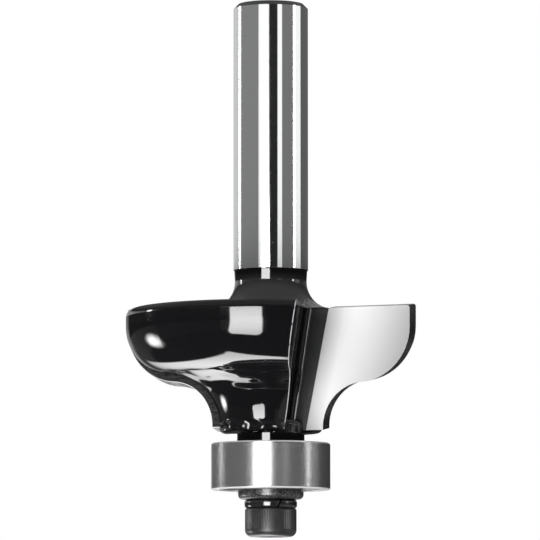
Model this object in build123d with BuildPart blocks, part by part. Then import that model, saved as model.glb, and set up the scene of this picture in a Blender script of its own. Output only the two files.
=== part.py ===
from build123d import *
from math import atan2, cos, degrees, radians, sin, sqrt, tan
import os

# Units are millimetres. Z is the turning axis and the shank points up.
# Z = 0 is the socket face of the pilot screw.

# Shank and neck
total_length = 57.2
shank_d = 8.0
shank_chamfer = 0.5
neck_step = 0.1
neck_taper = 0.06
neck_run = 1.1
neck_fillet = 3.0

# Cutting profile of one carbide tip, given as radii about the axis
cut_r = 15.875
cove_root_r = 5.87
cove_r = 4.75
bead_r = 5.85
cove_start = 0.25
tip_wall = 2.17
tip_t = 2.4
tip_inner_top_r = 6.56
tip_inner_bottom_r = 3.89
tip_proud = 0.15
side_relief = 6.0
end_relief = 8.0

# Direction of the tip's face and how far behind the axis it lies
face_angle = 24.0
face_offset = 0.44

# Wings of the steel body
wing_ease_x = 0.5
wing_ease_y = 0.2
wing_inset = 0.375
wing_lift = 0.25
wing_wall = 1.03
wing_rim = 0.88
wing_drop = 0.25
wing_foot_r = 0.55
wing_divide = 130.0

# Gullet in front of each tip
gullet_top_r = 3.78
gullet_slant = 9.2
gullet_skew = 4.5
gullet_rise = 0.5
gullet_reach = 24.0
gullet_corner = 0.6

# Pilot end of the body
nose_d = 7.2
nose_rise = 1.1
nose_edge = 0.3
nose_h = 1.32
stem_gap = 0.1
stem_clear = 0.005
tap_d = 3.0
tap_depth = 11.4
tap_cone = 0.87

# Ball bearing
bore_d = 4.762
ring_od = 12.7
ring_w = 4.978
ball_d = 2.381
ball_count = 7
race_clear = 0.02
inner_shoulder = 0.916
outer_shoulder = 0.884
ring_chamfer = 0.14
bore_chamfer = 0.2

# Cage
cage_t = 0.75
cage_inset = 0.366
cage_below = 1.55
cage_above = 0.45
pocket_clear = 0.06

# Shields and their snap rings
shield_t = 0.25
shield_depth = 0.45
shield_gap = 0.15
seat_step = 0.25
seat_clear = 0.02
lip_t = 0.2
snap_w = 0.58
snap_seat = 0.25
snap_opening = 24.0

# Washers
flat_od = 7.0
flat_bore = 3.2
flat_t = 1.0
flat_edge = 0.5
spring_od = 5.6
spring_bore = 3.1
spring_t = 1.0
spring_edge = 0.38
spring_gap = 0.16
spring_gap_x = 0.95
spring_gap_lean = 25.0

# Pilot screw
screw_clear = 0.05
screw_length = 12.0
screw_point = 0.4
head_d = 5.5
head_h = 3.0
head_edge = 0.75
head_rim = 0.15
socket_af = 2.5
socket_depth = 1.5

# Heights that follow from the sizes above
flat_z = head_h + spring_t
ring_z = flat_z + flat_t
nose_z = ring_z + ring_w
ring_mid = ring_z + ring_w / 2
cut_z = nose_z + nose_h
foot_z = cut_z - wing_drop
cove_z = cut_z + cove_start
arc_sum = bead_r + cove_r
cove_centre_r = cove_root_r + cove_r
bead_centre_r = cut_r - bead_r
arc_rise = sqrt(arc_sum ** 2 - (cove_centre_r - bead_centre_r) ** 2)
bead_z = cove_z + arc_rise
tip_top = bead_z + tip_wall
body_top = bead_z + wing_lift + wing_wall + wing_rim
fillet_z = body_top + neck_fillet
lip_z = fillet_z + neck_run + neck_step
join_angle = degrees(atan2(arc_rise, bead_centre_r - cove_centre_r))

# Radii that follow from the sizes above
shank_r = shank_d / 2
neck_r = shank_r - neck_step - neck_taper
nose_r = nose_d / 2
stem_r = bore_d / 2 - stem_clear
screw_r = tap_d / 2 - screw_clear
ball_r = ball_d / 2
race_r = ball_r + race_clear
pitch_r = (bore_d + ring_od) / 4
inner_land_r = pitch_r - inner_shoulder
outer_land_r = pitch_r + outer_shoulder
cage_r = pitch_r - cage_inset
seat_r = outer_land_r + seat_step
snap_r = seat_r + snap_seat - seat_clear
wing_back = wing_ease_x + wing_inset


def turned(turn):
    """Outward and forward directions of the blade whose face is turned by this angle."""
    a = radians(turn - face_angle)
    return Vector(cos(a), sin(a), 0), Vector(sin(a), -cos(a), 0)


def face_plane(turn, depth):
    """Plane parallel to a blade's face, this deep behind it, x outward and y up."""
    out, front = turned(turn)
    return Plane(origin=front * -(face_offset + depth), x_dir=out, z_dir=front)


def ogee(shift, lift, foot, head):
    """Draw the cutting profile, set back evenly by shift and moved up by lift, from foot to head."""
    root = cove_root_r - shift
    outer = cut_r - shift
    Line((root, foot), (root, cove_z + lift))
    CenterArc((cove_centre_r, cove_z + lift), cove_r + shift, join_angle, 180 - join_angle)
    CenterArc((bead_centre_r, bead_z + lift), bead_r - shift, 180 + join_angle, 180 - join_angle)
    Line((outer, bead_z + lift), (outer, head))


def tip_edge(head):
    """Draw the face outline of one carbide tip, with its top edge at head."""
    slope = (tip_inner_top_r - tip_inner_bottom_r) / (tip_top - cut_z)
    inner_head_r = tip_inner_bottom_r + slope * (head - cut_z)
    ogee(0, 0, cut_z, head)
    Polyline((cut_r, head), (inner_head_r, head), (tip_inner_bottom_r, cut_z), (cove_root_r, cut_z))


# Path that the face outline follows to the back of the tip
out, front = turned(0)
relief = front * -1 - out * tan(radians(side_relief)) + Vector(0, 0, tan(radians(end_relief)))

# Carbide tips
with BuildPart() as carbide_tip_right:
    with BuildSketch(face_plane(0, 0)):
        with BuildLine():
            tip_edge(tip_top)
        make_face()
    extrude(amount=tip_t * relief.length, dir=relief.normalized())

with BuildPart() as carbide_tip_left:
    add(carbide_tip_right.part.rotate(Axis.Z, 180))

# Cutter for a tip's seat, open above the tip
with BuildPart() as tip_seat:
    with BuildSketch(face_plane(0, 0)):
        with BuildLine():
            tip_edge(body_top + tip_wall)
        make_face()
    extrude(amount=tip_t * relief.length, dir=relief.normalized())

# One wing, turned about its own centre so that it eases away behind the tip
with BuildPart() as wing:
    with BuildSketch(Plane(origin=(-wing_ease_x, wing_ease_y, 0), x_dir=(1, 0, 0), z_dir=(0, -1, 0))):
        with BuildLine():
            ogee(wing_back, wing_lift, foot_z + wing_foot_r, body_top - wing_rim)
            rim_r = cut_r - wing_back - wing_rim
            foot_r = cove_root_r - wing_back - wing_foot_r
            CenterArc((rim_r, body_top - wing_rim), wing_rim, 0, 90)
            CenterArc((foot_r, foot_z + wing_foot_r), wing_foot_r, 270, 90)
            Polyline((rim_r, body_top), (0, body_top), (0, foot_z), (foot_r, foot_z))
        make_face()
    revolve(axis=Axis((-wing_ease_x, wing_ease_y, 0), (0, 0, 1)))
    with Locations(Location((0, 0, 0), (0, 0, wing_divide))):
        Box(4 * cut_r, 2 * cut_r, 2 * total_length, align=(Align.CENTER, Align.MIN, Align.CENTER),
            mode=Mode.INTERSECT)

# Gullet cutter for the right blade
with BuildPart() as gullet:
    with BuildSketch(face_plane(0, tip_proud)):
        lean = tan(radians(gullet_slant))
        with BuildLine():
            Polyline((gullet_top_r, body_top), (2 * cut_r, body_top), (2 * cut_r, 0),
                     (gullet_top_r - lean * body_top, 0), (gullet_top_r, body_top))
        make_face()
    cut_path = Vector(lean * gullet_rise - tan(radians(gullet_skew)), -1, gullet_rise)
    extrude(amount=gullet_reach, dir=cut_path.normalized())
    fillet(gullet.edges().sort_by_distance((0, 0, body_top / 2))[0], radius=gullet_corner)

# Steel body: shank, neck, wings, nose and pilot stem are one piece
with BuildPart() as cutter_body:
    add(wing.part)
    add(wing.part.rotate(Axis.Z, 180))
    with BuildSketch(Plane.XZ):
        with BuildLine():
            Polyline((neck_r, fillet_z), (neck_r + neck_taper, lip_z - neck_step), (shank_r, lip_z),
                     (shank_r, total_length - shank_chamfer),
                     (shank_r - shank_chamfer, total_length), (0, total_length),
                     (0, body_top - wing_rim), (neck_r + neck_fillet, body_top - wing_rim),
                     (neck_r + neck_fillet, body_top))
            CenterArc((neck_r + neck_fillet, fillet_z), neck_fillet, 180, 90)
        make_face()
    revolve(axis=Axis.Z)
    add(gullet.part, mode=Mode.SUBTRACT)
    add(gullet.part.rotate(Axis.Z, 180), mode=Mode.SUBTRACT)
    with BuildSketch(Plane.XZ):
        with BuildLine():
            nose_top = cut_z + nose_rise
            Polyline((0, ring_z + stem_gap), (stem_r - bore_chamfer, ring_z + stem_gap),
                     (stem_r, ring_z + stem_gap + bore_chamfer), (stem_r, nose_z), (nose_r, nose_z),
                     (nose_r, nose_top - nose_edge), (nose_r - nose_edge, nose_top), (0, nose_top),
                     (0, ring_z + stem_gap))
        make_face()
    revolve(axis=Axis.Z)
    with BuildSketch(Plane.XZ):
        with BuildLine():
            tap_end = ring_z + tap_depth
            Polyline((0, ring_z), (tap_d / 2, ring_z), (tap_d / 2, tap_end), (0, tap_end + tap_cone),
                     (0, ring_z))
        make_face()
    revolve(axis=Axis.Z, mode=Mode.SUBTRACT)
    add(tip_seat.part, mode=Mode.SUBTRACT)
    add(tip_seat.part.rotate(Axis.Z, 180), mode=Mode.SUBTRACT)

# Bearing rings
with BuildPart() as bearing_inner_ring:
    with Locations((0, 0, ring_z)):
        Cylinder(inner_land_r, ring_w, align=(Align.CENTER, Align.CENTER, Align.MIN))
        Cylinder(bore_d / 2, ring_w, align=(Align.CENTER, Align.CENTER, Align.MIN), mode=Mode.SUBTRACT)
    chamfer(bearing_inner_ring.edges().filter_by(GeomType.CIRCLE), length=bore_chamfer)
    with Locations((0, 0, ring_mid)):
        Torus(pitch_r, race_r, mode=Mode.SUBTRACT)

with BuildPart() as bearing_outer_ring:
    with Locations((0, 0, ring_z)):
        Cylinder(ring_od / 2, ring_w, align=(Align.CENTER, Align.CENTER, Align.MIN))
    chamfer(bearing_outer_ring.edges().filter_by(GeomType.CIRCLE), length=ring_chamfer)
    with Locations((0, 0, ring_mid)):
        Cylinder(outer_land_r, ring_w, mode=Mode.SUBTRACT)
        Torus(pitch_r, race_r, mode=Mode.SUBTRACT)
    seat_h = shield_depth + shield_t
    with Locations((0, 0, ring_z)):
        Cylinder(seat_r, seat_h, align=(Align.CENTER, Align.CENTER, Align.MIN), mode=Mode.SUBTRACT)
    with Locations((0, 0, nose_z)):
        Cylinder(seat_r, seat_h, align=(Align.CENTER, Align.CENTER, Align.MAX), mode=Mode.SUBTRACT)
    with Locations((0, 0, ring_z + lip_t), (0, 0, nose_z - shield_depth)):
        Cylinder(seat_r + snap_seat, shield_depth - lip_t,
                 align=(Align.CENTER, Align.CENTER, Align.MIN), mode=Mode.SUBTRACT)

# Balls in their pockets
balls = []
for index in range(ball_count):
    with BuildPart() as ball:
        with Locations((0, 0, ring_mid)):
            with PolarLocations(pitch_r, 1, start_angle=index * 360 / ball_count):
                Sphere(ball_r)
    balls.append(ball.part)

with BuildPart() as ball_cage:
    with Locations((0, 0, ring_mid - cage_below)):
        Cylinder(cage_r + cage_t, cage_below + cage_above, align=(Align.CENTER, Align.CENTER, Align.MIN))
        Cylinder(cage_r, cage_below + cage_above, align=(Align.CENTER, Align.CENTER, Align.MIN),
                 mode=Mode.SUBTRACT)
    with Locations((0, 0, ring_mid)):
        with PolarLocations(pitch_r, ball_count):
            Sphere(ball_r + pocket_clear, mode=Mode.SUBTRACT)

# Shields and snap rings
with BuildPart() as lower_shield:
    with BuildSketch(Plane.XY.offset(ring_z + shield_depth)):
        Circle(seat_r - seat_clear)
        Circle(inner_land_r + shield_gap, mode=Mode.SUBTRACT)
    extrude(amount=shield_t)

with BuildPart() as upper_shield:
    with BuildSketch(Plane.XY.offset(nose_z - shield_depth - shield_t)):
        Circle(seat_r - seat_clear)
        Circle(inner_land_r + shield_gap, mode=Mode.SUBTRACT)
    extrude(amount=shield_t)

with BuildPart() as lower_snap_ring:
    with BuildSketch(Plane.XZ):
        with Locations((snap_r, ring_z + lip_t)):
            Rectangle(snap_w, shield_depth - lip_t, align=(Align.MAX, Align.MIN))
    revolve(axis=Axis.Z, revolution_arc=360 - snap_opening)

with BuildPart() as upper_snap_ring:
    with BuildSketch(Plane.XZ):
        with Locations((snap_r, nose_z - shield_depth)):
            Rectangle(snap_w, shield_depth - lip_t, align=(Align.MAX, Align.MIN))
    revolve(axis=Axis.Z, revolution_arc=360 - snap_opening)

# Washers
with BuildPart() as flat_washer:
    with BuildSketch(Plane.XY.offset(flat_z)):
        Circle(flat_od / 2)
        Circle(flat_bore / 2, mode=Mode.SUBTRACT)
    extrude(amount=flat_t)
    fillet(flat_washer.edges().filter_by(GeomType.CIRCLE).group_by(Axis.Z)[0], radius=flat_edge)

with BuildPart() as spring_washer:
    with BuildSketch(Plane.XY.offset(head_h)):
        Circle(spring_od / 2)
        Circle(spring_bore / 2, mode=Mode.SUBTRACT)
    extrude(amount=spring_t)
    fillet(spring_washer.edges().filter_by(GeomType.CIRCLE), radius=spring_edge)
    with Locations(Location((spring_gap_x, 0, head_h + spring_t / 2), (0, spring_gap_lean, 0))):
        Box(spring_gap, spring_od, 2 * spring_t, align=(Align.CENTER, Align.MAX, Align.CENTER),
            mode=Mode.SUBTRACT)

# Pilot screw with its socket at the bottom
with BuildPart() as cap_screw:
    with BuildSketch(Plane.XZ):
        with BuildLine():
            head_r = head_d / 2
            screw_end = head_h + screw_length
            CenterArc((head_r - head_edge, head_edge), head_edge, 270, 90)
            Polyline((head_r, head_edge), (head_r, head_h - head_rim), (head_r - head_rim, head_h),
                     (screw_r, head_h), (screw_r, screw_end - screw_point),
                     (screw_r - screw_point, screw_end), (0, screw_end), (0, 0), (head_r - head_edge, 0))
        make_face()
    revolve(axis=Axis.Z)
    with BuildSketch(Plane.XY):
        RegularPolygon(socket_af / 2, 6, major_radius=False)
    extrude(amount=socket_depth, mode=Mode.SUBTRACT)

# Label every piece and write it out
pieces = {
    "cutter_body": cutter_body.part,
    "carbide_tip_right": carbide_tip_right.part,
    "carbide_tip_left": carbide_tip_left.part,
    "bearing_inner_ring": bearing_inner_ring.part,
    "bearing_outer_ring": bearing_outer_ring.part,
    "ball_cage": ball_cage.part,
    "upper_shield": upper_shield.part,
    "lower_shield": lower_shield.part,
    "upper_snap_ring": upper_snap_ring.part,
    "lower_snap_ring": lower_snap_ring.part,
    "flat_washer": flat_washer.part,
    "spring_washer": spring_washer.part,
    "cap_screw": cap_screw.part,
}
for index, ball_part in enumerate(balls):
    pieces[f"bearing_ball_{index + 1}"] = ball_part

os.makedirs("parts", exist_ok=True)
for label, piece in pieces.items():
    piece.label = label
    export_step(piece, f"parts/{label}.step")
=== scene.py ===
"""Looks of the router bit: its finishes, its finely shaped pieces, the studio and the camera."""

import logging
import math
from collections.abc import Callable
from dataclasses import dataclass, field
from enum import Enum

import bpy
import bmesh
from mathutils import Matrix, Vector


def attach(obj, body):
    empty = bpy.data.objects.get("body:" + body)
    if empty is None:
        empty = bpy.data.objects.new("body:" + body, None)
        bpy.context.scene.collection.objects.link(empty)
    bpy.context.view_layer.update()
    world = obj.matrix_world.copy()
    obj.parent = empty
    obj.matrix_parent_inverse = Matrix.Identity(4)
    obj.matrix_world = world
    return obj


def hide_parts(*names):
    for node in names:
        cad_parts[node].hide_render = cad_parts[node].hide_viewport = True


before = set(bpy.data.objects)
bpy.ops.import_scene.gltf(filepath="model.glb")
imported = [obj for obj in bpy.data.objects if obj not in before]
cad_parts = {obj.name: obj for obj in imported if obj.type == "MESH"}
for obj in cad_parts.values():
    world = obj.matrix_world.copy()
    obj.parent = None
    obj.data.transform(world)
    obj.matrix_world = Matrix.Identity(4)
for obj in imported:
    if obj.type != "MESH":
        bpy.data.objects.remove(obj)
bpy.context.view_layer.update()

logging.basicConfig(level=logging.INFO, format="%(levelname)s %(message)s")
LOG = logging.getLogger("router_bit")
MM = 0.001
NEAR = 0.01  # mm within which a corner, edge or face counts as lying at a place
SIDES = (1.0, -1.0)  # the right-hand wing and its half-turn copy on the left
Colour = tuple[float, float, float, float]
Cells = float | tuple[float, float, float]
Test = Callable[[Vector, Vector], bool]


def grey(value: float) -> Colour:
    """Opaque grey of one level."""
    return (value, value, value, 1.0)


def tone(colour: Colour, share: float) -> Colour:
    """The same opaque colour, darker or lighter."""
    return tuple(part * share for part in colour[:3]) + (1.0,)


class Value:
    """A number socket that Python's arithmetic can be written on."""

    def __init__(self, graph: "Graph", socket: bpy.types.NodeSocket) -> None:
        """Wrap a socket.

        Args:
            graph: The graph that new Math nodes are added to.
            socket: The output that carries the number.
        """
        self.graph = graph
        self.socket = socket

    def _with(self, operation: str, left: "Value | float", right: "Value | float") -> "Value":
        """Add a Math node on two operands."""
        node = self.graph.node("ShaderNodeMath", {"operation": operation}, {0: left, 1: right})
        return Value(self.graph, node.outputs[0])

    def __add__(self, other: "Value | float") -> "Value":
        """Sum."""
        return self._with("ADD", self, other)

    def __radd__(self, other: float) -> "Value":
        """Sum with a number on the left."""
        return self._with("ADD", other, self)

    def __sub__(self, other: "Value | float") -> "Value":
        """Difference."""
        return self._with("SUBTRACT", self, other)

    def __rsub__(self, other: float) -> "Value":
        """Difference from a number on the left."""
        return self._with("SUBTRACT", other, self)

    def __mul__(self, other: "Value | float") -> "Value":
        """Product."""
        return self._with("MULTIPLY", self, other)

    def __rmul__(self, other: float) -> "Value":
        """Product with a number on the left."""
        return self._with("MULTIPLY", other, self)

    def __truediv__(self, other: "Value | float") -> "Value":
        """Quotient."""
        return self._with("DIVIDE", self, other)

    def __pow__(self, other: "Value | float") -> "Value":
        """Power."""
        return self._with("POWER", self, other)

    def above(self, limit: float, blur: float) -> "Value":
        """One where the value is over a limit, zero under it, with a soft step of this width."""
        step = self.graph.node("ShaderNodeMapRange", {"interpolation_type": "SMOOTHSTEP"},
                               {0: self, 1: limit - blur / 2, 2: limit + blur / 2, 3: 0.0, 4: 1.0})
        return Value(self.graph, step.outputs[0])

    def between(self, low: float, high: float, rise: float, fall: float) -> "Value":
        """One between two limits, with a soft step of its own width at each."""
        return self.above(low, rise) * (1.0 - self.above(high, fall))

    def arctan2(self, other: "Value") -> "Value":
        """Angle of the point whose sine side is self and cosine side is other."""
        return self._with("ARCTAN2", self, other)

    def arcsine(self) -> "Value":
        """Angle whose sine this is."""
        return self._with("ARCSINE", self, 0.0)

    def at_least(self, other: float) -> "Value":
        """The larger of the two."""
        return self._with("MAXIMUM", self, other)

    def size(self) -> "Value":
        """The value without its sign."""
        return self._with("ABSOLUTE", self, 0.0)

    def hypot(self, other: "Value") -> "Value":
        """Length of the vector that has self and other as its sides."""
        return (self * self + other * other) ** 0.5


Axes = tuple[Value, Value, Value]


class Graph:
    """The node tree of one material or of the world."""

    def __init__(self, tree: bpy.types.NodeTree) -> None:
        """Empty a node tree and take it over.

        Args:
            tree: The tree of a material or world that uses nodes.
        """
        self.tree = tree
        tree.nodes.clear()

    def node(self, kind: str, settings: dict | None = None, inputs: dict | None = None) -> bpy.types.Node:
        """Add one node.

        Args:
            kind: The node's type name.
            settings: Attributes that are set first; "stops" gives a ramp's positions and colours.
            inputs: Socket name or number to a number, colour, vector, socket or Value.

        Returns:
            The new node.
        """
        made = self.tree.nodes.new(kind)
        for name, value in (settings or {}).items():
            if name == "stops":
                ramp = made.color_ramp
                while len(ramp.elements) < len(value):
                    ramp.elements.new(1.0)
                for element, (position, colour) in zip(ramp.elements, value):
                    element.position = position
                    element.color = colour
            elif name == "ramp_mode":
                made.color_ramp.interpolation = value
            else:
                setattr(made, name, value)
        for key, value in (inputs or {}).items():
            socket = made.inputs[key]
            if isinstance(value, Value):
                self.tree.links.new(value.socket, socket)
            elif isinstance(value, bpy.types.NodeSocket):
                self.tree.links.new(value, socket)
            else:
                socket.default_value = value
        return made

    def object_axes(self) -> Axes:
        """The three Object coordinates, in millimetres."""
        place = self.node("ShaderNodeTexCoord")
        parts = self.node("ShaderNodeSeparateXYZ", None, {0: place.outputs["Object"]})
        return tuple(Value(self, out) * (1.0 / MM) for out in parts.outputs)

    def noise(self, cells: Cells, detail: float, roughness: float = 0.6,
              turn: tuple[float, float, float] = (0.0, 0.0, 0.0)) -> Value:
        """Noise over Object coordinates.

        Args:
            cells: Cells per metre along X, Y and Z after the turn, or one number for all three.
            detail: Octaves.
            roughness: Share that each octave keeps.
            turn: Turn of the pattern, in radians.

        Returns:
            The noise, about 0 to 1.
        """
        scale = cells if isinstance(cells, tuple) else (cells, cells, cells)
        place = self.node("ShaderNodeTexCoord")
        mapped = self.node("ShaderNodeMapping", {"vector_type": "POINT"},
                           {"Vector": place.outputs["Object"], "Rotation": turn, "Scale": scale})
        return self.noise_at(mapped.outputs[0], detail, roughness)

    def noise_at(self, place: bpy.types.NodeSocket, detail: float, roughness: float) -> Value:
        """Noise with one cell to each unit of a vector."""
        made = self.node("ShaderNodeTexNoise", {"noise_dimensions": "3D"},
                         {"Vector": place, "Scale": 1.0, "Detail": detail, "Roughness": roughness})
        return Value(self, made.outputs["Fac"])

    def ring_noise(self, around: float, along: float, detail: float) -> Value:
        """Noise stretched round the Z axis, as turning and cylindrical grinding leave.

        Args:
            around: Cells per turn.
            along: Cells per millimetre along the axis.
            detail: Octaves.

        Returns:
            The noise, about 0 to 1.
        """
        x, y, z = self.object_axes()
        angle = y.arctan2(x)
        joined = self.node("ShaderNodeCombineXYZ", None,
                           {0: angle * (around / math.tau), 1: x.hypot(y) * along, 2: z * along})
        return self.noise_at(joined.outputs[0], detail, 0.6)

    def blend(self, share: "Value | float", first: "Colour | bpy.types.NodeSocket",
              second: "Colour | bpy.types.NodeSocket") -> bpy.types.NodeSocket:
        """Mix two colours."""
        made = self.node("ShaderNodeMix", {"data_type": "RGBA"}, {0: share, 6: first, 7: second})
        return made.outputs[2]

    def bump(self, height: Value, strength: float, distance: float) -> bpy.types.NodeSocket:
        """Normal from a height, with the distance in millimetres."""
        made = self.node("ShaderNodeBump", None,
                         {"Strength": strength, "Distance": distance * MM, "Height": height})
        return made.outputs[0]


def new_surface(name: str) -> tuple[bpy.types.Material, Graph]:
    """Make a material with an empty graph.

    Args:
        name: The material's name.

    Returns:
        The material, and its graph to draw in.
    """
    material = bpy.data.materials.new(name)
    material.use_nodes = True
    return material, Graph(material.node_tree)


def close_surface(graph: Graph, inputs: dict) -> None:
    """Add the Principled shader and the output."""
    shader = graph.node("ShaderNodeBsdfPrincipled", None, inputs)
    graph.node("ShaderNodeOutputMaterial", None, {"Surface": shader.outputs[0]})


@dataclass(frozen=True)
class GulletWall:
    """Masks that follow the sloping wall of each gullet, with the cut's own sizes in mm and degrees."""

    face_angle: float = 24.0
    face_depth: float = 0.59
    top_r: float = 3.78
    top_z: float = 24.29
    foot_z: float = 11.3
    slant: float = 9.2
    skew: float = 4.5
    rise: float = 0.5
    line_width: float = 0.1
    line_inner: float = 2.0

    def plane(self) -> tuple[Vector, float]:
        """Find the wall of the right-hand gullet.

        Returns:
            The wall's normal, which points into the steel, and its distance from the origin along it.
        """
        turn = math.radians(self.face_angle)
        lean = math.tan(math.radians(self.slant))
        out = Vector((math.cos(turn), -math.sin(turn), 0.0))
        front = Vector((-math.sin(turn), -math.cos(turn), 0.0))
        corner = front * -self.face_depth + out * self.top_r + Vector((0.0, 0.0, self.top_z))
        along = out * lean + Vector((0.0, 0.0, 1.0))
        cut = Vector((lean * self.rise - math.tan(math.radians(self.skew)), -1.0, self.rise))
        normal = along.cross(cut).normalized()
        if normal.x > 0.0:
            normal = -normal
        return normal, corner.dot(normal)

    def depths(self, place: Axes) -> list[Value]:
        """Find how far into the steel behind each wall a point lies.

        Args:
            place: Object coordinates in mm.

        Returns:
            Depths in mm behind the right-hand wall and the left-hand one, less than zero in front.
        """
        x, y, z = place
        normal, offset = self.plane()
        level = z * normal.z - offset
        side = x * normal.x + y * normal.y
        return [side * sign + level for sign in SIDES]

    def wear_and_highlight(self, place: Axes) -> Value:
        """Find the thin line where each wall cuts off its wing, where a painted highlight goes.

        Args:
            place: Object coordinates in mm.

        Returns:
            A mask that is one on the lines.
        """
        lines = 0.0
        for sign, depth in zip(SIDES, self.depths(place)):
            line = depth.between(0.02, self.line_width, 0.02, 0.05)
            lines = line * (place[1] * -sign).above(self.line_inner, 0.2) + lines
        return lines * place[2].between(self.foot_z, self.top_z + 0.2, 0.1, 0.1)

    def milled(self, place: Axes) -> tuple[Value, Value]:
        """Find the milled surfaces in front of each tip.

        Args:
            place: Object coordinates in mm.

        Returns:
            A mask that is one on the gullets' floors, and one for their run-outs into the neck.
        """
        x, y, z = place
        turn = math.radians(self.face_angle)
        front = x * -math.sin(turn) + y * -math.cos(turn)
        floor = ahead = 0.0
        for sign, depth in zip(SIDES, self.depths(place)):
            cut = 1.0 - depth.above(0.03, 0.04)
            height = front * sign + self.face_depth
            floor = cut * (1.0 - height.size().above(0.04, 0.04)) + floor
            ahead = cut * height.above(-0.05, 0.06) + ahead
        floor = floor * z.between(self.foot_z, self.top_z, 0.1, 0.1)
        return floor, ahead * z.between(self.top_z + 0.1, self.top_z + 0.8, 0.1, 0.6)


@dataclass(frozen=True)
class CoatedSteel:
    """Polished shank steel that turns to gloss black coating below a height, with sizes in mm.

    The coating is satin on the neck's fillet, slightly wavy above the cove and lumpy at the wings' feet.
    """

    steel: Colour = (0.66, 0.665, 0.67, 1.0)
    coat: Colour = (0.004, 0.004, 0.0045, 1.0)
    # light grey of the painted highlight along each gullet wall's edge
    wear_and_highlight: Colour = (0.60, 0.60, 0.61, 1.0)
    satin: Colour = (0.042, 0.042, 0.042, 1.0)
    milled: Colour = (0.030, 0.030, 0.031, 1.0)
    # light grey of the painted reflection on the gullets' run-outs into the neck
    bright: Colour = (0.45, 0.45, 0.455, 1.0)
    coat_top: float = 28.5
    end_z: float = 56.7
    satin_low: float = 24.8
    satin_high: float = 27.4
    wavy_low: float = 15.7
    wavy_high: float = 17.2
    wave: float = 0.34
    wave_cells: Cells = (430.0, 430.0, 560.0)
    lumpy_low: float = 11.0
    lumpy_high: float = 12.2
    lump: float = 1.3
    lump_cells: Cells = 620.0
    lump_dull: float = 0.11
    edge_dull: float = 0.3
    cloud_cells: Cells = 260.0
    speckle_cells: Cells = 2600.0
    scratch: float = 0.00015
    grain: float = 0.0005
    milled_grain: float = 0.003

    def make(self) -> bpy.types.Material:
        """Build the material.

        Returns:
            The new material.
        """
        material, graph = new_surface("coated_steel")
        place = graph.object_axes()
        z = place[2]
        wall = GulletWall()
        lines = graph.ring_noise(3.0, 9.0, 3.0)
        cloud = graph.noise(self.cloud_cells, 3.0, 0.55)
        speckle = graph.noise(self.speckle_cells, 2.0, 0.5)
        bare = z.above(self.coat_top, 0.04)
        lumpy = z.between(self.lumpy_low, self.lumpy_high, 0.1, 0.6)
        # painted highlight: a thin light line along each gullet wall's edge, broken up by speckle
        wear_and_highlight = wall.wear_and_highlight(place) * speckle.above(0.36, 0.2)
        floor, runout = wall.milled(place)
        steel = graph.blend(lines, tone(self.steel, 0.93), self.steel)
        steel = graph.blend(z.above(self.end_z, 0.02) * 0.8, steel, self.milled)
        coat = graph.blend(cloud, self.coat, tone(self.coat, 1.6))
        coat = graph.blend(z.between(self.satin_low, self.satin_high, 0.9, 1.6), coat, self.satin)
        coat = graph.blend(floor * (cloud * 0.8 + 0.4), coat, self.milled)
        # painted reflection: the run-outs take a speckled light grey, standing for the light that the neck's
        # fillet mirrors there
        coat = graph.blend(runout * (speckle.above(0.4, 0.4) * 0.7 + 0.3), coat, self.bright)
        coat = graph.blend(wear_and_highlight, coat, self.wear_and_highlight)
        rough = bare * (lines * 0.05 + 0.045) + (1.0 - bare) * (cloud * 0.04 + 0.035)
        rough = rough + (wear_and_highlight + runout) * self.edge_dull + floor * (speckle * 0.2 + 0.2)
        rough = rough + lumpy * self.lump_dull
        wavy = z.between(self.wavy_low, self.wavy_high, 0.9, 1.4)
        waves = wavy * graph.noise(self.wave_cells, 0.0) * self.wave
        lumps = lumpy * (graph.noise(self.lump_cells, 0.0) - 0.5) * self.lump
        height = (1.0 - bare) * speckle * (floor * self.milled_grain + self.grain)
        height = bare * lines * self.scratch + height + (lumps + waves) * (1.0 - floor)
        close_surface(graph, {
            "Base Color": graph.blend(bare, coat, steel),
            "Metallic": bare,
            "Roughness": rough,
            "IOR": 1.5,
            "Normal": graph.bump(height, 1.0, 1.0),
        })
        return material


@dataclass(frozen=True)
class GroundCarbide:
    """Light grey cemented carbide with fine slanting grinding marks, with sizes in mm and degrees.

    Painted shade darkens its colour towards the cutting edge and along the seam beside the gullet.
    """

    light: Colour = (0.92, 0.92, 0.92, 1.0)
    # the colour that the painted shade darkens the face to
    dark: Colour = (0.40, 0.40, 0.405, 1.0)
    face_angle: float = 24.0
    outer_r: float = 8.3
    outer_width: float = 7.2
    outer_lean: float = 0.35
    outer_z: float = 20.0
    foot_z: float = 11.3
    inner_r: float = 3.9
    inner_lean: float = 0.205
    inner_width: float = 2.0
    inner_shade: float = 0.25
    marks_cells: Cells = (500.0, 500.0, 9000.0)
    cloud_cells: Cells = 150.0

    def make(self) -> bpy.types.Material:
        """Build the material.

        Returns:
            The new material.
        """
        material, graph = new_surface("ground_carbide")
        marks = graph.noise(self.marks_cells, 3.0, turn=(0.0, 0.55, 0.42))
        cloud = graph.noise(self.cloud_cells, 2.0, 0.5)
        x, y, z = graph.object_axes()
        turn = math.radians(self.face_angle)
        out = (x * math.cos(turn) + y * -math.sin(turn)).size()
        # painted shade: darker past outer_r towards the cutting edge and near the inner edge beside the
        # gullet, mixed with the grain's own tone
        outer = out - (z - self.outer_z) * self.outer_lean - self.outer_r
        outer = (outer / self.outer_width).at_least(0.0)
        inner = self.inner_r + (z - self.foot_z) * self.inner_lean + self.inner_width - out
        painted_shade_and_grain = outer + inner.at_least(0.0) * self.inner_shade + marks * 0.04 + cloud * 0.08
        close_surface(graph, {
            "Base Color": graph.blend(painted_shade_and_grain, self.light, self.dark),
            "Roughness": marks * 0.08 + 0.5,
            "IOR": 1.25,
            "Normal": graph.bump(marks, 0.10, 0.01),
        })
        return material


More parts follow.
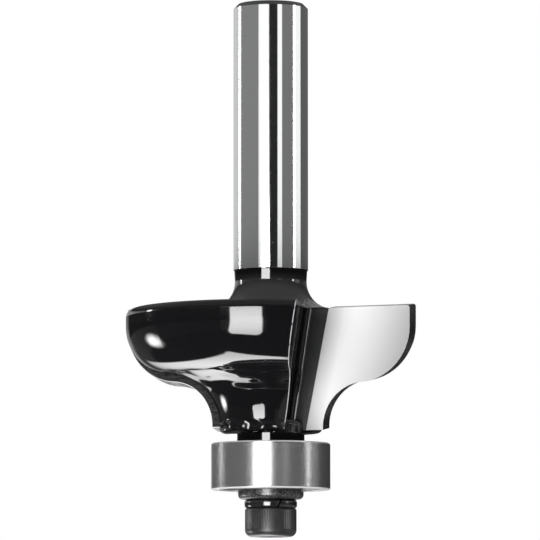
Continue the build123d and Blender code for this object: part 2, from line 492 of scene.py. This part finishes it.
@dataclass(frozen=True)
class CoatedFlank:
    """Dark coating that a tip's flanks kept when only its face was ground."""

    base: float = 0.02
    wear_and_highlight: float = 0.10
    marks_cells: Cells = (900.0, 900.0, 7000.0)
    patch_cells: Cells = 900.0

    def make(self) -> bpy.types.Material:
        """Build the material.

        Returns:
            The new material.
        """
        material, graph = new_surface("coated_flank")
        marks = graph.noise(self.marks_cells, 3.0)
        patch = graph.noise(self.patch_cells, 4.0)
        close_surface(graph, {
            "Base Color": graph.blend((patch * marks * 1.6) ** 2.0, grey(self.base), grey(self.wear_and_highlight)),
            "Metallic": 0.5,
            "Roughness": marks * 0.16 + 0.2,
            "Normal": graph.bump(marks, 0.15, 0.02),
        })
        return material


@dataclass(frozen=True)
class TurnedSteel:
    """Steel with marks round the axis, and painted highlights on chamfers below and above two heights in mm.
    """

    name: str
    light: float
    dark: float
    roughness: float
    along: float
    bump: float = 0.1
    metallic: float = 1.0
    low_edge: float = -1.0
    high_edge: float = 100.0
    chamfer_highlight: float = 0.85
    grit_cells: Cells = 9000.0

    def make(self) -> bpy.types.Material:
        """Build the material.

        Returns:
            The new material.
        """
        material, graph = new_surface(self.name)
        lines = graph.ring_noise(3.0, self.along, 3.0)
        grit = graph.noise(self.grit_cells, 2.0)
        height = graph.object_axes()[2]
        # painted highlight: the chamfers below low_edge and above high_edge take a light, less metallic grey
        edge = height.above(self.high_edge, 0.03) + (1.0 - height.above(self.low_edge, 0.03))
        turned = graph.blend(lines * 0.5 + grit * 0.5, grey(self.dark), grey(self.light))
        close_surface(graph, {
            "Base Color": graph.blend(edge, turned, grey(self.chamfer_highlight)),
            "Metallic": (1.0 - edge * 0.7) * self.metallic,
            "Roughness": lines * 0.05 + grit * 0.05 + (self.roughness - 0.05),
            "Normal": graph.bump(lines * 0.3 + grit * 0.7, self.bump, 0.006),
        })
        return material


@dataclass(frozen=True)
class OxideSteel:
    """Black oxide or rolled dark steel, with grain, patches of wear and painted glints."""

    name: str
    base: float
    wear_and_highlight: float
    roughness: float
    grain: float
    metallic: float
    glint: float = 0.0
    patch_cells: Cells = 700.0
    grain_cells: Cells = 5200.0

    def make(self) -> bpy.types.Material:
        """Build the material.

        Returns:
            The new material.
        """
        material, graph = new_surface(self.name)
        patch = graph.noise(self.patch_cells, 4.0)
        grain = graph.noise(self.grain_cells, 3.0)
        # painted highlights: glints are light specks in the colour, added to the patches of wear
        wear_and_glints = patch ** 2.0 + grain.above(0.62, 0.06) * self.glint
        close_surface(graph, {
            "Base Color": graph.blend(wear_and_glints, grey(self.base), grey(self.wear_and_highlight)),
            "Metallic": self.metallic,
            "Roughness": grain * 0.14 + (self.roughness - 0.07),
            "IOR": 1.5,
            "Normal": graph.bump(grain * 0.6 + patch * 0.4, self.grain, 0.02),
        })
        return material


class Finish(Enum):
    """Which finish each kind of surface takes."""

    BODY = "body"
    FACE = "face"
    FLANK = "flank"
    RING = "ring"
    BALL = "ball"
    CAGE = "cage"
    SHIELD = "shield"
    SNAP = "snap"
    FLAT = "flat"
    SPRING = "spring"
    SCREW = "screw"


@dataclass
class FinishBook:
    """All finishes, each made once."""

    made: dict[Finish, bpy.types.Material] = field(default_factory=dict)

    def build(self) -> None:
        """Make every material."""
        recipes = {
            Finish.BODY: CoatedSteel(),
            Finish.FACE: GroundCarbide(),
            Finish.FLANK: CoatedFlank(),
            # the rings' chamfers below 5.13 mm and above 9.84 mm take a painted highlight
            Finish.RING: TurnedSteel("ground_ring", light=0.46, dark=0.32, roughness=0.23, along=24.0,
                                     bump=0.4, metallic=0.85, low_edge=5.13, high_edge=9.84),
            Finish.BALL: TurnedSteel("polished_ball", light=0.75, dark=0.70, roughness=0.12, along=3.0,
                                     bump=0.02),
            Finish.CAGE: TurnedSteel("pressed_cage", light=0.52, dark=0.44, roughness=0.34, along=5.0),
            Finish.SHIELD: TurnedSteel("pressed_shield", light=0.50, dark=0.42, roughness=0.30, along=7.0),
            Finish.SNAP: TurnedSteel("drawn_wire", light=0.50, dark=0.42, roughness=0.28, along=6.0,
                                     bump=0.08),
            Finish.FLAT: OxideSteel("rolled_washer", base=0.004, wear_and_highlight=0.20, roughness=0.28, grain=1.0,
                                    metallic=0.5, glint=0.9),
            Finish.SPRING: OxideSteel("gloss_oxide", base=0.06, wear_and_highlight=0.09, roughness=0.13, grain=0.2,
                                      metallic=0.8),
            Finish.SCREW: OxideSteel("satin_oxide", base=0.014, wear_and_highlight=0.05, roughness=0.40, grain=0.6,
                                     metallic=0.15, glint=0.3),
        }
        for kind, recipe in recipes.items():
            self.made[kind] = recipe.make()
            LOG.info("finish %s", kind.value)

    def dress(self, piece: bpy.types.Object, *kinds: Finish) -> None:
        """Put finishes on a piece in place of what it has.

        Args:
            piece: A piece made here or a packed one.
            kinds: Its finishes, one to a slot.
        """
        slots = piece.data.materials
        while len(slots) < len(kinds):
            slots.append(None)
        while len(slots) > len(kinds):
            slots.pop()
        for index, kind in enumerate(kinds):
            slots[index] = self.made[kind]
        LOG.info("%s wears %s", piece.name, ", ".join(kind.value for kind in kinds))


class Pick(Enum):
    """What is selected of a mesh, with the name of its selection mode."""

    FACES = "FACE"
    EDGES = "EDGE"
    CORNERS = "VERT"


class Blank:
    """A new mesh on the bench, which is shaped in edit mode and then finished."""

    def __init__(self, name: str) -> None:
        """Take over the primitive that was just added, with nothing on it selected.

        Args:
            name: The finished piece's name.
        """
        self.item = bpy.context.object
        self.item.name = name
        self.item.data.name = name
        bpy.ops.object.transform_apply(location=True, rotation=True, scale=True)
        bpy.ops.object.mode_set(mode="EDIT")
        bpy.ops.mesh.select_all(action="DESELECT")

    @classmethod
    def bar(cls, name: str, radius: float, foot: float, head: float, corners: int) -> "Blank":
        """Start from a round bar about the axis.

        Args:
            name: The finished piece's name.
            radius: Radius in mm.
            foot: Height of its lower end in mm.
            head: Height of its upper end in mm.
            corners: How many sides stand in for the round.

        Returns:
            The bar, in edit mode.
        """
        bpy.ops.object.select_all(action="DESELECT")
        bpy.ops.mesh.primitive_cylinder_add(vertices=corners, radius=radius * MM, depth=(head - foot) * MM,
                                            location=(0.0, 0.0, (foot + head) / 2 * MM))
        return cls(name)

    def pick(self, kind: Pick, test: Test) -> None:
        """Select only what passes a test.

        Args:
            kind: What is looked at.
            test: Takes a middle in mm, and a face's or corner's normal or an edge's unit direction.
        """
        mesh = bmesh.from_edit_mesh(self.item.data)
        bpy.ops.mesh.select_all(action="DESELECT")
        bpy.ops.mesh.select_mode(type=kind.value)
        if kind is Pick.FACES:
            found = [(face, face.calc_center_median(), face.normal) for face in mesh.faces]
        elif kind is Pick.EDGES:
            ends = [(edge, *(corner.co for corner in edge.verts)) for edge in mesh.edges]
            found = [(edge, (first + last) / 2, (last - first).normalized()) for edge, first, last in ends]
        else:
            found = [(corner, corner.co, corner.normal) for corner in mesh.verts]
        for element, middle, way in found:
            element.select_set(test(middle / MM, way))
        bmesh.update_edit_mesh(self.item.data)

    def inset(self, thickness: float, depth: float = 0.0, each: bool = False) -> None:
        """Inset the selected faces by a thickness in mm, and lift them by a depth."""
        bpy.ops.mesh.inset(thickness=thickness * MM, depth=depth * MM, use_individual=each)

    def push(self, move: Vector) -> None:
        """Extrude what is selected and move it, in mm."""
        bpy.ops.mesh.extrude_region_move(TRANSFORM_OT_translate={"value": tuple(move * MM)})

    def round_off(self, width: float, segments: int) -> None:
        """Bevel the selected edges by a width in mm."""
        bpy.ops.mesh.bevel(offset=width * MM, segments=segments, profile=0.5, affect="EDGES")

    def carve(self, tool: bpy.types.Object) -> None:
        """Take a tool's shape out of the piece and put the tool away.

        Args:
            tool: A closed mesh, which is removed afterwards.
        """
        bpy.ops.object.mode_set(mode="OBJECT")
        bpy.context.view_layer.objects.active = self.item
        cut = self.item.modifiers.new("cut", "BOOLEAN")
        cut.operation = "DIFFERENCE"
        cut.solver = "EXACT"
        cut.object = tool
        bpy.ops.object.modifier_apply(modifier="cut")
        bpy.data.objects.remove(tool, do_unlink=True)
        bpy.ops.object.mode_set(mode="EDIT")

    def release(self, angle: float) -> bpy.types.Object:
        """Leave edit mode with the faces outward and smooth below an angle.

        Args:
            angle: The sharpest edge that is still shaded smooth, in degrees.

        Returns:
            The finished object.
        """
        bpy.ops.mesh.select_mode(type="VERT")
        bpy.ops.mesh.select_all(action="SELECT")
        bpy.ops.mesh.remove_doubles(threshold=0.0005 * MM)
        bpy.ops.mesh.normals_make_consistent(inside=False)
        bpy.ops.mesh.select_all(action="DESELECT")
        bpy.ops.object.mode_set(mode="OBJECT")
        bpy.ops.object.select_all(action="DESELECT")
        self.item.select_set(True)
        bpy.context.view_layer.objects.active = self.item
        bpy.ops.object.shade_smooth_by_angle(angle=math.radians(angle))
        return self.item


def stand_in(piece: bpy.types.Object, node: str) -> None:
    """Let a piece made here stand for a packed one on the bit's body.

    Args:
        piece: The finished piece.
        node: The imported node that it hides.
    """
    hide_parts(node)
    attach(piece, "bit")


@dataclass
class PilotScrew:
    """The screw that holds the bearing, and its two washers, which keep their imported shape.

    Its knurled head has the socket at the bottom, and its shank goes up the stem.
    """

    head_r: float = 2.75
    head_h: float = 3.0
    head_round: float = 0.75
    head_rim: float = 0.15
    shank_r: float = 1.45
    shank_top: float = 15.0
    point: float = 0.4
    socket_af: float = 2.5
    socket_depth: float = 1.5
    overcut: float = 0.5
    drill_gap: float = 0.25
    drill_depth: float = 0.35
    drill_end: float = 0.3
    knurls: int = 60
    knurl_gap: float = 0.03
    knurl_depth: float = 0.035
    piece: bpy.types.Object | None = None

    def build(self) -> None:
        """Model the screw."""
        socket = self.socket()
        corners = 2 * self.knurls
        blank = Blank.bar("pilot_screw", self.head_r, 0.0, self.head_h, corners)
        blank.pick(Pick.EDGES, lambda at, way: at.z < NEAR)
        blank.round_off(self.head_round, 7)
        blank.pick(Pick.EDGES, lambda at, way: at.z > self.head_h - NEAR)
        blank.round_off(self.head_rim, 2)
        step = math.tau / corners  # every second side of the head is pressed in as a knurl's groove
        blank.pick(Pick.FACES, lambda at, way: abs(way.z) < 0.01
                   and int(math.atan2(at.y, at.x) % math.tau / step) % 2 == 0)
        blank.inset(self.knurl_gap, -self.knurl_depth, True)
        blank.pick(Pick.FACES, lambda at, way: way.z > 0.99 and math.hypot(at.x, at.y) < 0.5)
        blank.inset(self.head_r - self.head_rim - self.shank_r)
        length = self.shank_top - self.head_h
        blank.push(Vector((0.0, 0.0, length - self.point)))
        blank.push(Vector((0.0, 0.0, self.point)))
        slim = 1.0 - self.point / self.shank_r
        bpy.ops.transform.resize(value=(slim, slim, 1.0))
        blank.carve(socket)
        self.piece = blank.release(30.0)
        stand_in(self.piece, "cap_screw")

    def dress(self, book: FinishBook) -> None:
        """Put their finishes on the screw and the washers.

        Args:
            book: The finishes, made before.
        """
        book.dress(self.piece, Finish.SCREW)
        book.dress(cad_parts["flat_washer"], Finish.FLAT)
        book.dress(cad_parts["spring_washer"], Finish.SPRING)

    def socket(self) -> bpy.types.Object:
        """Model the hexagonal hole with its drilled bottom, as a tool to carve with."""
        across = self.socket_af / math.sqrt(3.0)
        tool = Blank.bar("socket_tool", across, -self.overcut, self.socket_depth, 6)
        tool.pick(Pick.FACES, lambda at, way: way.z > 0.99)
        tool.inset(self.drill_gap)
        tool.push(Vector((0.0, 0.0, self.drill_depth)))
        bpy.ops.transform.resize(value=(self.drill_end, self.drill_end, 1.0))
        return tool.release(30.0)


@dataclass
class CarbideTip:
    """One carbide tip: the ogee outline in its face plane, pushed back to the seat along the relief."""

    cut_r: float = 15.875
    cove_root_r: float = 5.87
    cove_r: float = 4.75
    bead_r: float = 5.85
    foot_z: float = 11.298
    cove_z: float = 11.548
    bead_z: float = 22.1313
    top_z: float = 24.3013
    inner_top_r: float = 6.56
    inner_foot_r: float = 3.89
    thickness: float = 2.4
    side_relief: float = 6.0
    end_relief: float = 8.0
    face_angle: float = 24.0
    face_offset: float = 0.44
    land: float = 0.035
    seam: float = 0.07
    corner: float = 0.3
    arc_steps: int = 40

    def build(self, name: str, turn: float) -> bpy.types.Object:
        """Model one tip.

        Args:
            name: The tip's name.
            turn: Degrees round the axis from the right-hand tip.

        Returns:
            The finished tip, with its face in the first slot and its flanks in the second.
        """
        bpy.ops.object.select_all(action="DESELECT")
        bpy.ops.mesh.primitive_plane_add(size=MM)
        blank = Blank(name)
        bpy.ops.mesh.select_all(action="SELECT")
        bpy.ops.mesh.merge(type="CENTER")
        bpy.ops.transform.translate(value=(self.inner_foot_r * MM, 0.0, self.foot_z * MM))
        cove = Vector((self.cove_root_r + self.cove_r, 0.0, self.cove_z))
        bead = Vector((self.cut_r - self.bead_r, 0.0, self.bead_z))
        sweep = math.atan2(bead.z - cove.z, bead.x - cove.x)
        blank.push(Vector((self.cove_root_r - self.inner_foot_r, 0.0, 0.0)))
        blank.push(Vector((0.0, 0.0, self.cove_z - self.foot_z)))
        self.arc(cove, math.pi - sweep)
        self.arc(bead, sweep - math.pi)
        blank.push(Vector((0.0, 0.0, self.top_z - self.bead_z)))
        blank.push(Vector((self.inner_top_r - self.cut_r, 0.0, 0.0)))
        bpy.ops.mesh.select_all(action="SELECT")
        bpy.ops.mesh.edge_face_add()
        blank.pick(Pick.CORNERS, lambda at, way: at.x > self.cut_r - NEAR and at.z > self.top_z - NEAR)
        bpy.ops.mesh.bevel(offset=self.corner * MM, segments=8, affect="VERTICES")
        bpy.ops.mesh.select_all(action="SELECT")
        side, end = (math.tan(math.radians(relief)) for relief in (self.side_relief, self.end_relief))
        blank.push(Vector((-side, 1.0, end)) * self.thickness)
        bpy.ops.mesh.select_all(action="SELECT")
        bpy.ops.mesh.normals_make_consistent(inside=False)
        blank.pick(Pick.EDGES, lambda at, way: at.y < NEAR and at.z < self.top_z - NEAR)
        blank.round_off(self.land, 2)
        blank.pick(Pick.EDGES, lambda at, way: at.y > self.thickness - NEAR)
        blank.round_off(self.seam, 1)
        blank.pick(Pick.FACES, self.coated)
        self.use_second_slot(blank)
        tip = blank.release(14.0)
        self.place(tip, turn)
        return tip

    def arc(self, centre: Vector, angle: float) -> None:
        """Spin the last corner of the outline round a centre, in mm, by an angle in radians."""
        bpy.ops.mesh.spin(steps=self.arc_steps, angle=angle, center=tuple(centre * MM), axis=(0.0, -1.0, 0.0))

    def coated(self, at: Vector, way: Vector) -> bool:
        """Tell the dark flanks and back from the ground face, the top end and the bright seam at the back.

        Args:
            at: Middle of the tip's face that is asked about, in mm; not used.
            way: Its normal, with Y to the back.

        Returns:
            Whether it kept its coating.
        """
        return way.y > -0.5 and way.z < 0.9 and not 0.4 < way.y < 0.95

    def use_second_slot(self, blank: Blank) -> None:
        """Give the tip two slots and put the selected faces in the second.

        Args:
            blank: The tip, in edit mode.
        """
        blank.item.data.materials.append(None)
        blank.item.data.materials.append(None)
        blank.item.active_material_index = 1
        bpy.ops.object.material_slot_assign()

    def place(self, tip: bpy.types.Object, turn: float) -> None:
        """Turn the tip to its wing and keep its place in its mesh.

        Args:
            tip: The finished tip, with its face in the plane Y = 0.
            turn: Degrees round the axis from the right-hand tip.
        """
        angle = math.radians(-self.face_angle)
        shift = Matrix.Translation(Vector((0.0, self.face_offset * MM, 0.0)))
        tip.matrix_world = Matrix.Rotation(math.radians(turn) + angle, 4, "Z") @ shift
        bpy.ops.object.transform_apply(location=True, rotation=True, scale=True)


@dataclass
class Cutter:
    """The steel body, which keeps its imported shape, and its two tips."""

    tip: CarbideTip = field(default_factory=CarbideTip)
    tips: list[bpy.types.Object] = field(default_factory=list)

    def build(self) -> None:
        """Model both tips, each in its own wing."""
        places = (("right_tip", 0.0, "carbide_tip_right"), ("left_tip", 180.0, "carbide_tip_left"))
        for name, turn, node in places:
            tip = self.tip.build(name, turn)
            stand_in(tip, node)
            self.tips.append(tip)

    def dress(self, book: FinishBook) -> None:
        """Put their finishes on the tips and the body.

        Args:
            book: The finishes, made before.
        """
        for tip in self.tips:
            book.dress(tip, Finish.FACE, Finish.FLANK)
        book.dress(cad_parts["cutter_body"], Finish.BODY)


@dataclass
class PilotBearing:
    """The ball bearing that guides the cut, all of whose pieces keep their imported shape."""

    balls: int = 7

    def dress(self, book: FinishBook) -> None:
        """Put their finishes on the rings, cage, shields, snap rings and balls.

        Args:
            book: The finishes, made before.
        """
        kinds = {
            "bearing_inner_ring": Finish.RING,
            "bearing_outer_ring": Finish.RING,
            "ball_cage": Finish.CAGE,
            "upper_shield": Finish.SHIELD,
            "lower_shield": Finish.SHIELD,
            "upper_snap_ring": Finish.SNAP,
            "lower_snap_ring": Finish.SNAP,
        }
        kinds.update({f"bearing_ball_{number}": Finish.BALL for number in range(1, self.balls + 1)})
        for name, kind in kinds.items():
            book.dress(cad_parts[name], kind)


@dataclass(frozen=True)
class SoftBox:
    """A bright rounded box in the reflections, given by angles in degrees."""

    azimuth: float
    elevation: float
    half_width: float
    half_height: float
    corner: float
    blur: float
    level: float

    def mask(self, turn: Value, rise: Value) -> Value:
        """One inside the box and zero outside it.

        Args:
            turn: Azimuth of the direction that is looked up.
            rise: Its elevation.

        Returns:
            The mask, with soft edges.
        """
        across = ((turn - self.azimuth).size() - (self.half_width - self.corner)).at_least(0.0)
        up = ((rise - self.elevation).size() - (self.half_height - self.corner)).at_least(0.0)
        return 1.0 - across.hypot(up).above(self.corner, self.blur)


@dataclass(frozen=True)
class KeyPanel:
    """The large front softbox, given along the axes of the unit direction, with its lower corners rounded."""

    centre_x: float = -0.274
    half_x: float = 0.216
    foot: float = -0.688
    slant: float = 0.25
    top: float = 0.0903
    corner: float = 0.08
    squash: float = 0.5
    blur: float = 0.02
    level: float = 18.0

    def shine(self, way: Axes) -> Value:
        """Brightness of the panel in each direction.

        Args:
            way: The unit direction: to the right, away from the camera and upwards.

        Returns:
            The brightness.
        """
        x, y, z = way
        across = ((x - self.centre_x).size() - (self.half_x - self.corner)).at_least(0.0)
        below = ((self.foot - z - x * self.slant) * self.squash + self.corner).at_least(0.0)
        inside = 1.0 - across.hypot(below).above(self.corner, self.blur)
        inside = inside * (1.0 - y.above(0.0, 0.1)) * (1.0 - z.above(self.top, 0.003))
        return inside * (1.0 - z * z * 0.8) * self.level


@dataclass(frozen=True)
class LowPanel:
    """The softbox under and behind the bit, which the undersides of the wings mirror."""

    left: float = -0.31
    right: float = 0.12
    near: float = 0.22
    slant: float = 0.68
    top: float = -0.27
    far_level: float = 0.8
    near_level: float = 9.0

    def shine(self, way: Axes) -> Value:
        """Brightness of the panel in each direction, less towards its far edge.

        Args:
            way: The unit direction: to the right, away from the camera and upwards.

        Returns:
            The brightness.
        """
        x, y, z = way
        inside = (y - x * self.slant).above(self.near, 0.05) * x.between(self.left, self.right, 0.05, 0.09)
        inside = inside * (1.0 - z.above(self.top, 0.08))
        deep = (self.top - z).at_least(0.0) / (1.0 + self.top)
        return inside * (deep * self.near_level + self.far_level)


@dataclass(frozen=True)
class StripWall:
    """Upright strips all round the bit in a band of heights, and again more weakly in a band below it.

    Angles are in degrees. Each strip runs from its own azimuth to that of the next.
    """

    low: float = 5.17
    high: float = 14.0
    under_low: float = -26.0
    under_high: float = -3.0
    under_level: float = 0.13
    strips: tuple[tuple[float, float], ...] = ((-180.0, 0.5), (-157.0, 0.8), (-105.0, 0.30), (-38.0, 1.5),
                                               (-6.5, 0.01), (21.0, 1.5), (35.0, 0.24), (74.0, 1.4),
                                               (105.0, 0.13))

    def shine(self, turn: Value, rise: Value) -> Value:
        """Brightness of the strips in each direction.

        Args:
            turn: Azimuth of the direction that is looked up.
            rise: Its elevation.

        Returns:
            The brightness.
        """
        graph = turn.graph
        stops = [((start + 180.0) / 360.0, grey(level)) for start, level in self.strips]
        ramp = graph.node("ShaderNodeValToRGB", {"ramp_mode": "CONSTANT", "stops": stops},
                          {0: turn / 360.0 + 0.5})
        level = Value(graph, graph.node("ShaderNodeRGBToBW", None, {0: ramp.outputs[0]}).outputs[0])
        under = rise.between(self.under_low, self.under_high, 6.0, 3.0) * self.under_level
        return level * (rise.between(self.low, self.high, 0.1, 5.0) + under)


class LampShape(Enum):
    """Outline of an area lamp's face."""

    RECTANGLE = "RECTANGLE"
    ELLIPSE = "ELLIPSE"


@dataclass(frozen=True)
class Lamp:
    """An area lamp that faces the bit and shows in no reflection.

    Its angles are in degrees, as the bit sees them, with the azimuth to the right of the camera's side.
    Its radiance is the brightness of its face, where 1 is white, and its distance is in metres.
    """

    name: str
    azimuth: float
    elevation: float
    width: float
    height: float
    radiance: float
    shape: LampShape = LampShape.RECTANGLE
    distance: float = 1.5
    aim_z: float = 18.5

    def place(self) -> None:
        """Make the lamp and turn it to the bit."""
        data = bpy.data.lights.new(self.name, "AREA")
        data.shape = self.shape.value
        data.size = 2 * self.distance * math.tan(math.radians(self.width / 2))
        data.size_y = 2 * self.distance * math.tan(math.radians(self.height / 2))
        filled = math.pi / 4 if self.shape is LampShape.ELLIPSE else 1.0
        data.energy = self.radiance * math.pi * data.size * data.size_y * filled
        lamp = bpy.data.objects.new(self.name, data)
        lamp.visible_glossy = False
        bpy.context.scene.collection.objects.link(lamp)
        turn, rise = math.radians(self.azimuth), math.radians(self.elevation)
        toward = Vector((math.sin(turn) * math.cos(rise), -math.cos(turn) * math.cos(rise), math.sin(rise)))
        lamp.location = Vector((0.0, 0.0, self.aim_z * MM)) + toward * self.distance
        lamp.rotation_euler = (-toward).to_track_quat("-Z", "Y").to_euler()


@dataclass
class Studio:
    """Backdrop, floor, lamps and camera, with sizes in mm."""

    camera_y: float = -510.0
    camera_z: float = -18.0
    aim_z: float = 28.55
    aim_x: float = -0.08
    frame_mm: float = 57.8
    sensor: float = 36.0
    plain: float = 0.42
    gloom: float = 0.02
    sky: float = 0.3
    sky_from: float = 0.46
    side: float = 0.4
    side_from: float = 0.5
    side_top: float = -0.12
    floor_size: float = 4000.0
    floor_z: float = -0.05
    floor_glow: float = 0.7
    key: KeyPanel = field(default_factory=KeyPanel)
    low: LowPanel = field(default_factory=LowPanel)
    wall: StripWall = field(default_factory=StripWall)

    def camera(self) -> None:
        """Make the camera, looking a little up at the bit as the photograph does."""
        data = bpy.data.cameras.new("camera")
        data.sensor_width = self.sensor
        reach = math.hypot(self.camera_y, self.aim_z - self.camera_z)
        data.lens = self.sensor * reach / self.frame_mm
        data.clip_start = 0.01
        data.clip_end = 50.0
        view = bpy.data.objects.new("camera", data)
        bpy.context.scene.collection.objects.link(view)
        here = Vector((self.aim_x, self.camera_y, self.camera_z)) * MM
        there = Vector((self.aim_x, 0.0, self.aim_z)) * MM
        view.location = here
        view.rotation_euler = (there - here).to_track_quat("-Z", "Y").to_euler()
        bpy.context.scene.camera = view

    def lamps(self) -> list[Lamp]:
        """The lamps that light what isn't glossy."""
        return [
            Lamp("key_box", azimuth=-22.0, elevation=-18.0, width=31.5, height=60.0, radiance=5.6),
            Lamp("low_box", azimuth=180.0, elevation=-60.0, width=60.0, height=60.0, radiance=2.0),
            Lamp("side_spot", azimuth=-115.0, elevation=-27.0, width=28.0, height=34.0, radiance=4.0,
                 shape=LampShape.ELLIPSE),
        ]

    def boxes(self) -> list[SoftBox]:
        """The softboxes that the gloss coating mirrors."""
        return [
            SoftBox(azimuth=-117.0, elevation=-22.5, half_width=7.0, half_height=7.0, corner=7.0, blur=13.0,
                    level=17.0),
            SoftBox(azimuth=-167.0, elevation=-1.0, half_width=11.0, half_height=6.0, corner=4.0, blur=9.0,
                    level=0.45),
            SoftBox(azimuth=-112.5, elevation=10.2, half_width=3.2, half_height=4.7, corner=0.5, blur=0.3,
                    level=14.0),
            SoftBox(azimuth=78.0, elevation=10.2, half_width=3.0, half_height=4.7, corner=0.5, blur=0.3,
                    level=14.0),
        ]

    def world(self) -> None:
        """White to the camera, plain light on the bit, and softboxes and strips in its reflections."""
        world = bpy.data.worlds.new("studio")
        bpy.context.scene.world = world
        world.use_nodes = True
        graph = Graph(world.node_tree)
        place = graph.node("ShaderNodeTexCoord")
        parts = graph.node("ShaderNodeSeparateXYZ", None, {0: place.outputs["Generated"]})
        x, y, z = way = tuple(Value(graph, out) for out in parts.outputs)
        turn = x.arctan2(0.0 - y) * math.degrees(1.0)
        rise = z.arcsine() * math.degrees(1.0)
        shine = self.gloom + self.wall.shine(turn, rise)
        for box in self.boxes():
            shine = shine + box.mask(turn, rise) * box.level
        beside = x.above(self.side_from, 0.1) * (1.0 - z.above(self.side_top, 0.1))
        shine = shine + z.above(self.sky_from, 0.5) * self.sky + beside * self.side
        shine = shine + self.key.shine(way) + self.low.shine(way)
        shine = graph.node("ShaderNodeCombineColor", None, {0: shine, 1: shine, 2: shine}).outputs[0]
        rays = graph.node("ShaderNodeLightPath")
        seen = graph.blend(Value(graph, rays.outputs["Is Glossy Ray"]), grey(self.plain), shine)
        shown = graph.blend(Value(graph, rays.outputs["Is Camera Ray"]), seen, grey(1.0))
        back = graph.node("ShaderNodeBackground", None, {"Color": shown, "Strength": 1.0})
        graph.node("ShaderNodeOutputWorld", None, {"Surface": back.outputs[0]})

    def floor(self) -> None:
        """Pale floor under the bit that keeps its shadow and can't be seen from below."""
        bpy.ops.object.select_all(action="DESELECT")
        bpy.ops.mesh.primitive_plane_add(size=self.floor_size * MM, location=(0.0, 0.0, self.floor_z * MM))
        plane = bpy.context.object
        plane.name = "floor"
        material, graph = new_surface("floor")
        rays = graph.node("ShaderNodeLightPath")
        lit = graph.node("ShaderNodeBsdfDiffuse", None, {"Color": grey(0.95)})
        glow = graph.node("ShaderNodeEmission", None, {"Color": grey(1.0), "Strength": 1.0})
        camera, shine, shade = (Value(graph, rays.outputs[f"Is {kind} Ray"])
                                for kind in ("Camera", "Glossy", "Shadow"))
        seen = camera * self.floor_glow
        pale = graph.node("ShaderNodeMixShader", None, {0: seen, 1: lit.outputs[0], 2: glow.outputs[0]})
        gone = graph.node("ShaderNodeBsdfTransparent")
        under = Value(graph, graph.node("ShaderNodeNewGeometry").outputs["Backfacing"])
        clear = under + shine + shade
        mix = graph.node("ShaderNodeMixShader", None, {0: clear, 1: pale.outputs[0], 2: gone.outputs[0]})
        graph.node("ShaderNodeOutputMaterial", None, {"Surface": mix.outputs[0]})
        plane.data.materials.append(material)

    def build(self) -> None:
        """Set up the whole studio."""
        self.camera()
        self.world()
        self.floor()
        for lamp in self.lamps():
            lamp.place()
        LOG.info("studio ready")


def main() -> None:
    """Build the studio, the finishes and the bit."""
    bpy.context.scene.view_settings.view_transform = "Standard"
    Studio().build()
    book = FinishBook()
    book.build()
    screw, cutter, bearing = PilotScrew(), Cutter(), PilotBearing()
    for part in (screw, cutter):
        part.build()
        LOG.info("%s modelled", type(part).__name__)
    for part in (screw, cutter, bearing):
        part.dress(book)


if __name__ == "__main__":
    main()
